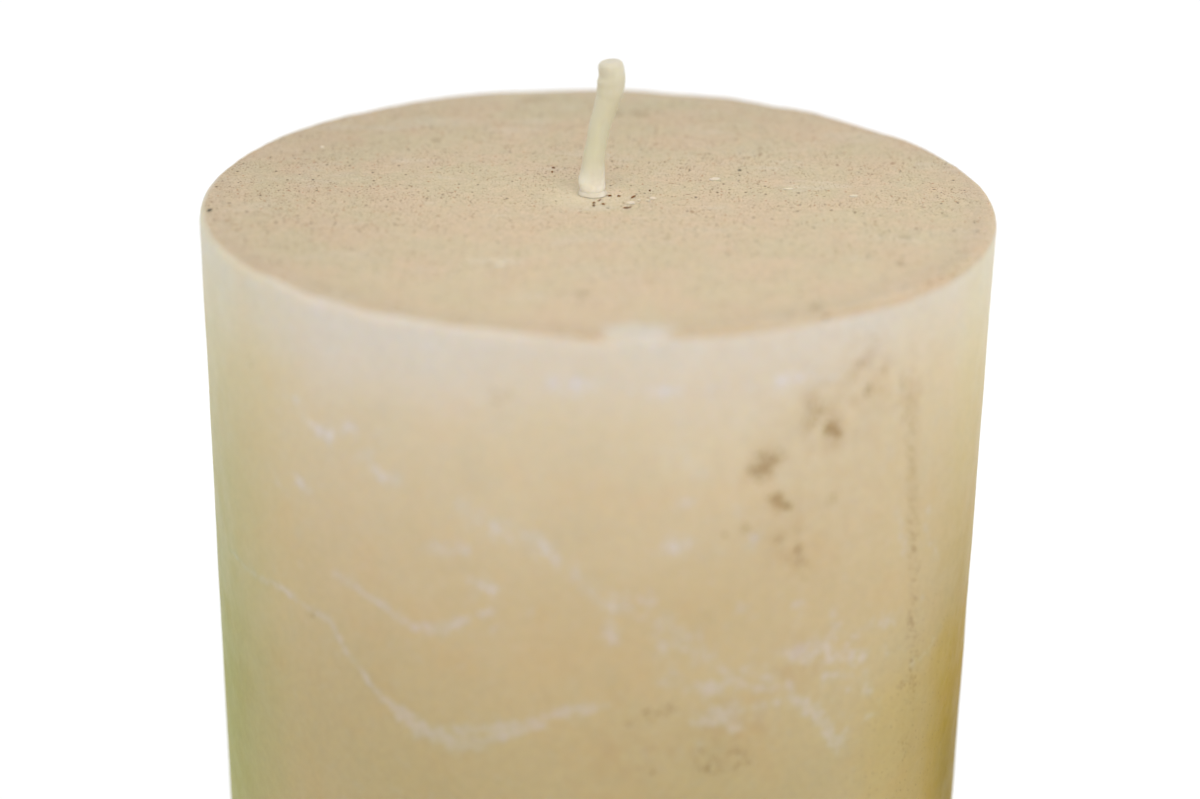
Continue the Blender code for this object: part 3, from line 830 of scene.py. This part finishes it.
# Slope and offset of the wick's centre line above the candle: it leans over more and more, then turns up
# again at its tip. The offsets are the running sum of the slopes.
LINE_HEIGHTS = np.linspace(0.0, WICK_LENGTH, 133)
LINE_SLOPES = -0.05 + 0.15 * smooth(0.8, 3.2, LINE_HEIGHTS) + 0.18 * smooth(2.2, 9.2, LINE_HEIGHTS)
LINE_SLOPES -= 0.42 * smooth(9.4, 12.3, LINE_HEIGHTS)
LINE_STEPS = (LINE_SLOPES[1:] + LINE_SLOPES[:-1]) / 2 * np.diff(LINE_HEIGHTS)
LINE_OFFSETS = np.concatenate([[0.0], np.cumsum(LINE_STEPS)])


def wick_centre(height):
    """Centre x of the wick at a height. It's straight and upright in the candle."""
    return WICK_X + MM * np.interp((height - TOP) / MM, LINE_HEIGHTS, LINE_OFFSETS)


def wick_slope(height):
    """Slope of the wick's centre line at a height, eased in from nothing at the top of the candle."""
    above = (height - TOP) / MM
    return float(np.interp(above, LINE_HEIGHTS, LINE_SLOPES) * smooth(0.0, 0.8, above))


# Radius of the primed wick by height above the top of the candle, in mm. It is slim in the middle.
WICK_OUTLINE = [
    (-1.0, 1.04), (0.03, 1.045), (0.27, 1.10), (0.5, 1.195), (0.8, 1.225), (1.3, 1.22), (2.5, 1.16),
    (3.6, 1.07), (5.4, 1.00), (7.0, 1.03), (8.2, 1.06), (9.3, 1.14), (10.4, 1.28), (11.5, 1.35), (12.3, 1.34),
    (13.2, 1.29),
]


def prime_outline(height):
    """Radius of the primed wick at a height, eased between the outline's stations."""
    above = (height - TOP) / MM
    for (low, first), (high, second) in zip(WICK_OUTLINE, WICK_OUTLINE[1:]):
        if above <= high:
            break
    return MM * (first + (second - first) * float(smooth(low, high, above)))


def sweep(heights, radius_at, columns):
    """Rings of points round the wick's centre line, with radius_at(height, turn) as their radius."""
    rings = []
    turn = np.arange(columns) / columns * math.tau
    for height in heights:
        slope = math.atan(wick_slope(height))
        radius = radius_at(height, turn)
        across = radius * np.sin(turn)
        x = wick_centre(height) + across * math.cos(slope)
        z = height - across * math.sin(slope)
        rings.append(np.stack([x, -radius * np.cos(turn), z], axis=1))
    return rings


def loft(rings):
    """Quads between neighbouring rings that all have the same count, with the first ring's vertices first."""
    count = len(rings[0])
    faces = []
    for k in range(len(rings) - 1):
        a, b = k * count, (k + 1) * count
        faces += [(a + i, a + (i + 1) % count, b + (i + 1) % count, b + i) for i in range(count)]
    return faces


def cord_tube(name, outer_heights, outer_radius, inner_radius, inner_top, columns, material):
    """A wick layer: an outer skin up to a rounded end, and a bore that is closed above and open below."""
    outer = sweep(outer_heights, outer_radius, columns)
    bore_heights = np.concatenate([np.linspace(WICK_FOOT, TOP, 3), np.linspace(TOP, inner_top, 24)[1:]])
    inner = sweep(bore_heights, lambda height, turn: np.full_like(turn, inner_radius), columns)
    points = np.concatenate(outer)
    faces = loft(outer)
    start = len(points) - columns
    tip = outer[-1].mean(axis=0) - (0.0, 0.0, 0.00003)
    points = np.vstack([points, tip])
    faces += [(start + i, start + (i + 1) % columns, start + columns) for i in range(columns)]
    base = len(points)
    points = np.vstack([points, np.concatenate(inner)])
    faces += [tuple(base + i for i in reversed(face)) for face in loft(inner)]
    last = len(points) - columns
    points = np.vstack([points, inner[-1].mean(axis=0)])
    faces += [(last + (i + 1) % columns, last + i, last + columns) for i in range(columns)]
    faces += [(i, base + i, base + (i + 1) % columns, (i + 1) % columns) for i in range(columns)]
    return mesh_object(name, points, faces, material)


def bend_with_tip(obj):
    """Bakes the piece's transform into its mesh."""
    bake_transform(obj)


def tip_rounding(height):
    """Pulls a radius in over the last stretch below the tip, as a share of the full radius."""
    into = np.clip((height - (WICK_TIP - TIP_ROUNDING)) / TIP_ROUNDING, 0.0, 1.0)
    return 0.60 + 0.40 * math.sqrt(max(1.0 - into**2, 0.0))


def build_wick_skin(material):
    """The wax skin of the wick: lumpy, with a bulge low on its left and a notch near its tip."""
    def radius_at(height, turn):
        above = (height - TOP) / MM
        exposed = float(smooth(0.5, 1.5, above))
        lumps = 0.030 * MM * waves(turn * 1.1 * MM, np.full_like(turn, height), 31, 0.0034, 2)
        seam = 0.015 * MM * np.cos(2.0 * turn + 0.35 * above)
        left = np.clip(-np.sin(turn), 0.0, 1.0)
        bulge = 0.15 * MM * left * float(smooth(0.46, 1.3, above) * smooth(2.8, 1.3, above))
        notch = -0.22 * MM * left * float(smooth(WICK_LENGTH - 2.0, WICK_LENGTH - 1.2, above))
        return (prime_outline(height) + (lumps + seam + notch) * exposed + bulge) * tip_rounding(height)

    rounding = WICK_TIP - TIP_ROUNDING + TIP_ROUNDING * np.sin(np.linspace(0.0, math.pi / 2, 9))
    buried = np.linspace(WICK_FOOT, TOP - 0.001, 12)
    exposed = np.arange(SKIN_LOW, WICK_TIP - 0.0006, SKIN_STEP)
    heights = np.concatenate([buried, exposed, rounding])
    bore_top = WICK_TIP - TIP_ROUNDING
    skin = cord_tube("wick_wax_skin", heights, radius_at, BRAID + 0.00005, bore_top, SKIN_COLUMNS, material)
    places = np.array([vertex.co for vertex in skin.data.vertices])
    store(skin, "above", (places[:, 2] - TOP) / MM)
    store(skin, "flank", np.abs(places[:, 0] - wick_centre(places[:, 2])) / (PRIME * 1.05))
    bend_with_tip(skin)
    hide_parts("wick_prime_coat", "wick_tip_prime_coat")


def build_wick_braid(material):
    """The plaited sleeve: strands that wind both ways round the cord and pass over and under."""
    def radius_at(height, turn):
        lean = math.tau * height / PLAIT_PITCH
        left = np.cos(PLAIT_STRANDS * (turn - lean / PLAIT_STRANDS))
        right = np.cos(PLAIT_STRANDS * (turn + lean / PLAIT_STRANDS))
        return BRAID * (0.93 + 0.07 * np.maximum(left, right))

    top = WICK_TIP - 0.00056
    heights = np.arange(WICK_FOOT, top, PLAIT_STEP)
    bore = THREAD + 0.00004
    braid = cord_tube("wick_cotton_plait", heights, radius_at, bore, top - 0.0003, PLAIT_COLUMNS, material)
    bend_with_tip(braid)
    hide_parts("wick_cotton_braid", "wick_tip_braid")


def build_wick_thread(material):
    """The stiffening thread: three plies twisted together."""
    def radius_at(height, turn):
        return THREAD * (0.84 + 0.16 * np.abs(np.cos(PLIES / 2 * (turn - math.tau * height / PLY_PITCH))))

    count = THREAD_COLUMNS
    rings = sweep(np.arange(WICK_FOOT, WICK_TIP - 0.0010, THREAD_STEP), radius_at, count)
    points = np.concatenate(rings)
    faces = loft(rings)
    start = len(points) - count
    points = np.vstack([points, rings[-1].mean(axis=0), rings[0].mean(axis=0)])
    faces += [(start + i, start + (i + 1) % count, len(points) - 2) for i in range(count)]
    faces += [((i + 1) % count, i, len(points) - 1) for i in range(count)]
    thread = mesh_object("wick_stiffening_thread", points, faces, material)
    bend_with_tip(thread)
    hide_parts("wick_core_thread", "wick_tip_core_thread")


# The wick's colour from the top of the candle up: (share of the span, display colour), the span in mm.
WICK_COLOUR_SPAN = 13.2
# The last stop is darker as painted shade on the wick's end, which the light catches more.
WICK_COLOURS = [
    (0.00, (231, 225, 211)), (0.08, (229, 222, 207)), (0.17, (221, 215, 195)), (0.25, (216, 211, 187)),
    (0.35, (214, 210, 184)), (0.70, (214, 209, 184)), (0.955, (214, 208, 186)), (1.00, (204, 197, 179)),
]


def wick_wax_material():
    """Thin pale wax over cotton. Near the foot: a painted highlight, painted light on the left, and white
    flecks that are partly painted highlight.
    """
    nodes = Nodes("wick_wax")
    above = nodes.attribute("above")
    colour = nodes.ramp(above / WICK_COLOUR_SPAN, WICK_COLOURS)
    streaks = nodes.noise(2600.0, place=nodes.stretched(1.0, 1.0, 0.12))
    colour = nodes.shaded(colour, nodes.step(streaks, 0.3, 0.7, 0.98, 1.02), 0.6)
    flecks = nodes.noise(1800.0, 3.0, 0.6)
    # Painted highlight: a white band low on the skin.
    foot_highlight = nodes.step(above, 1.7, 0.9) * nodes.step(flecks, 0.40, 0.60, 0.2, 0.8)
    colour = nodes.mix(foot_highlight, colour, srgb(240, 234, 222))
    low = nodes.step(above, 3.4, 1.4)
    # Painted light: the shaded left of the wick's foot is lightened.
    left = nodes.step(nodes.axis(nodes.place, 0), WICK_X + 0.0002, WICK_X - 0.0011)
    colour = nodes.tint(colour, low * left, (1.10, 1.14, 1.16))
    # White flecks low on the flanks: partly white wax, partly painted highlight.
    edges = nodes.step(nodes.attribute("flank"), 0.70, 0.95, 0.25, 1.0)
    white = nodes.step(flecks, 0.46, 0.58) * low * edges
    colour = nodes.mix(white * 0.85, colour, srgb(237, 232, 216))
    return nodes.surface({
        "Base Color": colour,
        "Roughness": nodes.step(flecks, 0.3, 0.7, 0.42, 0.55),
        "Specular IOR Level": 0.25,
        "IOR": WAX_IOR,
        "Normal": nodes.bump(streaks, 0.15, 0.00004),
        "Subsurface Weight": 1.0,
        "Subsurface Radius": (1.0, 0.9, 0.65),
        "Subsurface Scale": 0.00025,
    })


def cotton_material(name, pale, dark, strands, pitch):
    """Soaked cotton: fine strands that wind round the cord."""
    nodes = Nodes(name)
    x, y, z = nodes.axes()
    turn = nodes.maths("ARCTAN2", x - WICK_X, y) * strands
    lean = z * (math.tau / pitch)
    weave = nodes.most(nodes.maths("SINE", turn + lean), nodes.maths("SINE", turn - lean))
    height = weave + nodes.noise(9000.0)
    colour = nodes.mix(nodes.step(height, 0.0, 1.6), srgb(*dark), srgb(*pale))
    normal = nodes.bump(height, 0.6, 0.00004)
    return nodes.surface({"Base Color": colour, "Roughness": 0.85, "Normal": normal})


# ---------------------------------------------------------------- collar, crumbs and lint

# The skirt's outside and then its inside: (height above the top, radius), in mm.
SKIRT_OUTLINE = [
    (0.03, 1.345), (0.06, 1.35), (0.10, 1.34), (0.18, 1.317), (0.27, 1.293), (0.36, 1.268), (0.44, 1.243),
    (0.48, 1.228),
]
SKIRT_INSIDE = [(0.47, 1.215), (0.27, 1.135), (0.03, 1.09)]
SKIRT_COLUMNS = 56


def build_collar(material):
    """The skirt at the foot of the wick: a low uneven cone of wax that meets the wick's flared skin."""
    turn = np.arange(SKIRT_COLUMNS) / SKIRT_COLUMNS * math.tau
    uneven = waves(np.cos(turn), np.sin(turn), 41, 1.6, 2)
    rings = []
    for k, (height, radius) in enumerate(SKIRT_OUTLINE + SKIRT_INSIDE):
        outside = k < len(SKIRT_OUTLINE)
        bulge = 0.08 * np.clip(-np.sin(turn), 0.0, 1.0) * smooth(1.235, 1.33, radius)
        spread = radius + (0.30 * uneven * (radius - 1.235) + bulge) * outside
        rise = height + 0.04 * uneven * smooth(0.2, 0.5, height)
        rings.append(np.stack([WICK_X + spread * MM * np.sin(turn), -spread * MM * np.cos(turn),
                               TOP + rise * MM], axis=1))
    points = np.concatenate(rings)
    faces = [tuple(i % len(points) for i in face) for face in loft(rings + [rings[0]])]
    collar = mesh_object("wick_foot_skirt", points, faces, material, "candle")
    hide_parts("wick_foot_collar")


# White crumbs of wax on the top in mm: (x, y, half length, half width, turn in degrees).
CRUMBS = [
    (3.1, -2.7, 0.42, 0.36, 10), (5.3, -1.2, 0.34, 0.30, 0), (11.5, 5.3, 0.56, 0.42, 0),
    (18.5, 2.3, 0.48, 0.22, 5), (24.7, 0.3, 0.42, 0.25, 15), (-28.2, 14.7, 0.2, 0.2, 0),
    (-8.6, -21.0, 0.4, 0.3, 0), (3.9, -1.9, 0.2, 0.14, 30), (4.8, -1.9, 0.2, 0.16, 0),
]

# Short dark fibres on the top: (x, y, length, turn in degrees, thickness), in mm.
FIBRES = [
    (3.4, -0.9, 1.0, 60, 0.13), (2.7, -4.3, 0.7, 12, 0.12), (3.05, -4.1, 0.35, 50, 0.10),
    (1.1, -0.6, 0.42, 5, 0.13), (2.0, -0.6, 0.36, -5, 0.10), (0.1, -1.9, 0.9, 68, 0.08),
    (-0.4, -2.9, 0.34, 30, 0.13), (-0.4, -3.8, 0.28, 20, 0.15), (0.5, -3.2, 0.40, -12, 0.12),
    (-4.5, 8.4, 0.34, 20, 0.12), (-4.6, 7.0, 0.22, 0, 0.12), (5.0, 1.2, 0.25, 40, 0.12),
]


def build_crumbs(material):
    """Small flat crumbs of wax, each a lumpy closed body pressed a little into the top."""
    build = bmesh.new()
    rng = np.random.default_rng(52)
    for x, y, half_length, half_width, turn in CRUMBS:
        made = bmesh.ops.create_icosphere(build, subdivisions=3, radius=1.0)
        phase = rng.uniform(0.0, math.tau, 6)
        spin = Matrix.Rotation(math.radians(turn), 3, "Z")
        for vertex in made["verts"]:
            co = vertex.co
            lump = 1.0 + 0.18 * math.sin(3.1 * co.x + phase[0]) * math.sin(2.7 * co.y + phase[1])
            lump += 0.12 * math.sin(6.3 * co.x + phase[2]) * math.sin(5.9 * co.y + phase[3])
            shaped = Vector((co.x * half_length, co.y * half_width, co.z * 0.10)) * lump
            vertex.co = (spin @ shaped + Vector((x, y, 0.03))) * MM + Vector((0.0, 0.0, TOP))
    mesh = bpy.data.meshes.new("wax_crumbs")
    build.to_mesh(mesh)
    build.free()
    mesh.materials.append(material)
    mesh.shade_smooth()
    crumbs = bpy.data.objects.new("wax_crumbs", mesh)
    bpy.context.scene.collection.objects.link(crumbs)
    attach(crumbs, "candle")


def build_fibres(material):
    """Short curved fibres that lie on the top, each a closed tapered tube."""
    points, faces = [], []
    rng = np.random.default_rng(57)
    columns, stations = 6, 9
    turn = np.arange(columns) / columns * math.tau
    for x, y, length, heading, thickness in FIBRES:
        start = len(points)
        bow = rng.uniform(-0.12, 0.12) * length
        along = np.array([math.cos(math.radians(heading)), math.sin(math.radians(heading))])
        side = np.array([-along[1], along[0]])
        for share in np.linspace(-1.0, 1.0, stations):
            radius = 0.65 * thickness * (1.0 - 0.75 * share**2)
            centre = np.array([x, y]) + along * length / 2 * share + side * bow * (1.0 - share**2)
            ring = centre + np.outer(np.cos(turn) * radius, side)
            height = thickness * 0.55 + np.sin(turn) * radius
            points += [(px * MM, py * MM, TOP + pz * MM) for (px, py), pz in zip(ring, height)]
        faces += [tuple(start + k for k in face) for face in loft([turn] * stations)]
        faces.append(tuple(reversed(range(start, start + columns))))
        faces.append(tuple(range(start + (stations - 1) * columns, start + stations * columns)))
    fibres = mesh_object("lint_fibres", points, faces, material, "candle")


def pale_wax_material(name, colour, scale, white=0.0):
    """Clean set wax, pale and a little uneven, with white flecks where it has cracked."""
    nodes = Nodes(name)
    patches = nodes.noise(1400.0, 3.0, 0.6)
    tinted = nodes.shaded(srgb(*colour), nodes.step(patches, 0.3, 0.7, 0.94, 1.03))
    tinted = nodes.mix(nodes.step(nodes.noise(800.0), 0.46, 0.60, 0.0, white), tinted, srgb(238, 233, 224))
    return nodes.surface({
        "Base Color": tinted,
        "Roughness": nodes.step(patches, 0.3, 0.7, 0.42, 0.58),
        "Specular IOR Level": 0.3,
        "Normal": nodes.bump(patches, 0.4, 0.00006),
        "Subsurface Weight": 1.0 if scale else 0.0,
        "Subsurface Radius": (1.0, 0.8, 0.5),
        "Subsurface Scale": scale,
    })


def lint_material():
    nodes = Nodes("lint")
    colour = nodes.mix(nodes.step(nodes.noise(700.0, 1.0), 0.35, 0.65), srgb(98, 58, 20), srgb(134, 82, 36))
    return nodes.surface({"Base Color": colour, "Roughness": 0.9, "Specular IOR Level": 0.05})


# ---------------------------------------------------------------- materials for the CAD nodes that stay

def pressed_wax_material():
    """Pressed wax beads: a faint pearly grain with paler seams between the beads."""
    nodes = Nodes("pressed_wax")
    inputs = {"Vector": nodes.place, "Scale": 620.0}
    edge = nodes.add("ShaderNodeTexVoronoi", inputs, "Distance", feature="DISTANCE_TO_EDGE")
    seam = nodes.step(edge, 0.0, 0.12)
    broad = nodes.noise(90.0, 3.0)
    colour = nodes.mix(nodes.step(broad, 0.35, 0.65), srgb(212, 198, 168), srgb(221, 208, 182))
    return nodes.surface({
        "Base Color": nodes.mix(1.0 - seam, colour, srgb(228, 218, 198)),
        "Roughness": nodes.step(broad, 0.3, 0.7, 0.55, 0.7),
        "Specular IOR Level": 0.3,
        "Normal": nodes.bump(seam, 0.35, 0.00012),
        "Subsurface Weight": 0.8,
        "Subsurface Radius": (1.0, 0.75, 0.45),
        "Subsurface Scale": 0.0010,
    })


def tinplate_material():
    """Stamped tinplate: fine circular draw marks, dull patches and a little rust at the edge."""
    nodes = Nodes("tinplate")
    x, y, z = nodes.axes()
    reach = nodes.length(nodes.combine(x - WICK_X, y))
    rings = nodes.noise(5200.0, place=nodes.combine(reach, 0.0, z))
    patches = nodes.noise(420.0, 3.0, 0.6)
    colour = nodes.mix(nodes.step(patches, 0.35, 0.65), srgb(176, 176, 172), srgb(204, 203, 198))
    rust = nodes.step(reach, 0.0088, 0.0100) * nodes.step(patches, 0.50, 0.62) * 0.6
    return nodes.surface({
        "Base Color": nodes.mix(rust, colour, srgb(120, 84, 56)),
        "Metallic": 1.0 - rust,
        "Roughness": nodes.step(patches, 0.3, 0.7, 0.28, 0.46),
        "Normal": nodes.bump(rings, 0.25, 0.00003),
    })


def repaint(node, material):
    """Gives a CAD node that stays its finished material."""
    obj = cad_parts[node]
    obj.data.materials.clear()
    obj.data.materials.append(material)


# ---------------------------------------------------------------- stage, lights and camera

# Where the camera stands and looks. Distances are multiples of the candle's radius, from the top's middle.
CAMERA_BACK = 5.814
CAMERA_UP = 1.843
CAMERA_PITCH = math.radians(22.48)
CAMERA_YAW = math.radians(0.107)
CAMERA_ROLL = math.radians(0.69)
CAMERA_LENS = 71.93
SENSOR = 36.0
F_STOP = 10.0
FOCUS = (0.0, 0.0030, TOP)
FLOOR_HALF = 14.0

WORLD_LIGHT = 0.75
KEY_AZIMUTH = 16.0
KEY_HEIGHT = 50.0
KEY_SPREAD = 50.0
KEY_LIGHT = 1.6


def build_floor():
    nodes = Nodes("pale_floor")
    shade = nodes.step(nodes.noise(6.0), 0.3, 0.7, 0.925, 0.935)
    colour = nodes.combine(shade, shade, shade)
    nodes.surface({"Base Color": colour, "Roughness": 0.9, "Specular IOR Level": 0.1})
    half = FLOOR_HALF
    corners = [(-half, -half, 0), (half, -half, 0), (half, half, 0), (-half, half, 0)]
    floor = mesh_object("floor", corners, [(0, 1, 2, 3)], nodes.material)


def sun_light(name, azimuth, height, spread, strength):
    """A distant soft light, azimuth round from the front towards +X. All angles are in degrees."""
    light = bpy.data.lights.new(name, "SUN")
    light.energy = strength
    light.angle = math.radians(spread)
    obj = bpy.data.objects.new(name, light)
    turn, lift = math.radians(azimuth), math.radians(height)
    away = Vector((math.sin(turn) * math.cos(lift), -math.cos(turn) * math.cos(lift), math.sin(lift)))
    obj.rotation_euler = (-away).to_track_quat("-Z", "Y").to_euler()
    obj.location = away
    bpy.context.scene.collection.objects.link(obj)


def build_lights():
    world = bpy.data.worlds.new("studio")
    bpy.context.scene.world = world
    world.use_nodes = True
    tree = world.node_tree
    background = tree.nodes["Background"]
    background.inputs["Color"].default_value = (1.0, 1.0, 1.0, 1.0)
    seen = tree.nodes.new("ShaderNodeLightPath").outputs["Is Camera Ray"]
    strength = tree.nodes.new("ShaderNodeMapRange")
    strength.inputs["To Min"].default_value = WORLD_LIGHT
    strength.inputs["To Max"].default_value = 1.0
    tree.links.new(seen, strength.inputs["Value"])
    tree.links.new(strength.outputs[0], background.inputs["Strength"])
    sun_light("key_softbox", KEY_AZIMUTH, KEY_HEIGHT, KEY_SPREAD, KEY_LIGHT)
    bpy.context.scene.view_settings.view_transform = "Standard"


def build_camera():
    data = bpy.data.cameras.new("camera")
    data.lens = CAMERA_LENS
    data.sensor_width = SENSOR
    camera = bpy.data.objects.new("camera", data)
    bpy.context.scene.collection.objects.link(camera)
    level = math.cos(CAMERA_PITCH)
    ahead = Vector((math.sin(CAMERA_YAW) * level, math.cos(CAMERA_YAW) * level, -math.sin(CAMERA_PITCH)))
    right = ahead.cross(Vector((0, 0, 1))).normalized()
    up = right.cross(ahead)
    turned_right = right * math.cos(CAMERA_ROLL) + up * math.sin(CAMERA_ROLL)
    turned_up = up * math.cos(CAMERA_ROLL) - right * math.sin(CAMERA_ROLL)
    matrix = Matrix((turned_right, turned_up, -ahead)).transposed().to_4x4()
    matrix.translation = Vector((0.0, -CAMERA_BACK * RADIUS, TOP + CAMERA_UP * RADIUS))
    camera.matrix_world = matrix
    bpy.context.scene.camera = camera

    # A shallow focus on the foot of the wick. The lens stops down as the camera backs away.
    focus = bpy.data.objects.new("focus", None)
    focus.location = FOCUS
    bpy.context.scene.collection.objects.link(focus)
    data.dof.use_dof = True
    data.dof.focus_object = focus
    close = (matrix.translation - focus.location).length
    curve = data.dof.driver_add("aperture_fstop")
    curve.driver.type = "AVERAGE"
    gap = curve.driver.variables.new()
    gap.name = "gap"
    gap.type = "LOC_DIFF"
    gap.targets[0].id = camera
    gap.targets[1].id = focus
    square = curve.modifiers[0] if curve.modifiers else curve.modifiers.new("GENERATOR")
    square.poly_order = 2
    square.coefficients = (0.0, 0.0, F_STOP / close**2)


build_coat(wax_material())
build_wick_skin(wick_wax_material())
build_wick_braid(cotton_material("cotton", (226, 218, 196), (178, 164, 130), PLAIT_STRANDS, PLAIT_PITCH))
build_wick_thread(cotton_material("core_thread", (208, 194, 160), (150, 132, 96), PLIES, PLY_PITCH))
build_collar(pale_wax_material("collar_wax", (219, 210, 190), 0.0, 0.4))
build_crumbs(pale_wax_material("crumb_wax", (216, 203, 181), 0.00010))
build_fibres(lint_material())
repaint("wax_core", pressed_wax_material())
repaint("wick_sustainer", tinplate_material())
repaint("sustainer_seal_bead", pale_wax_material("bead_wax", (216, 204, 180), 0.0008))
build_floor()
build_lights()
build_camera()
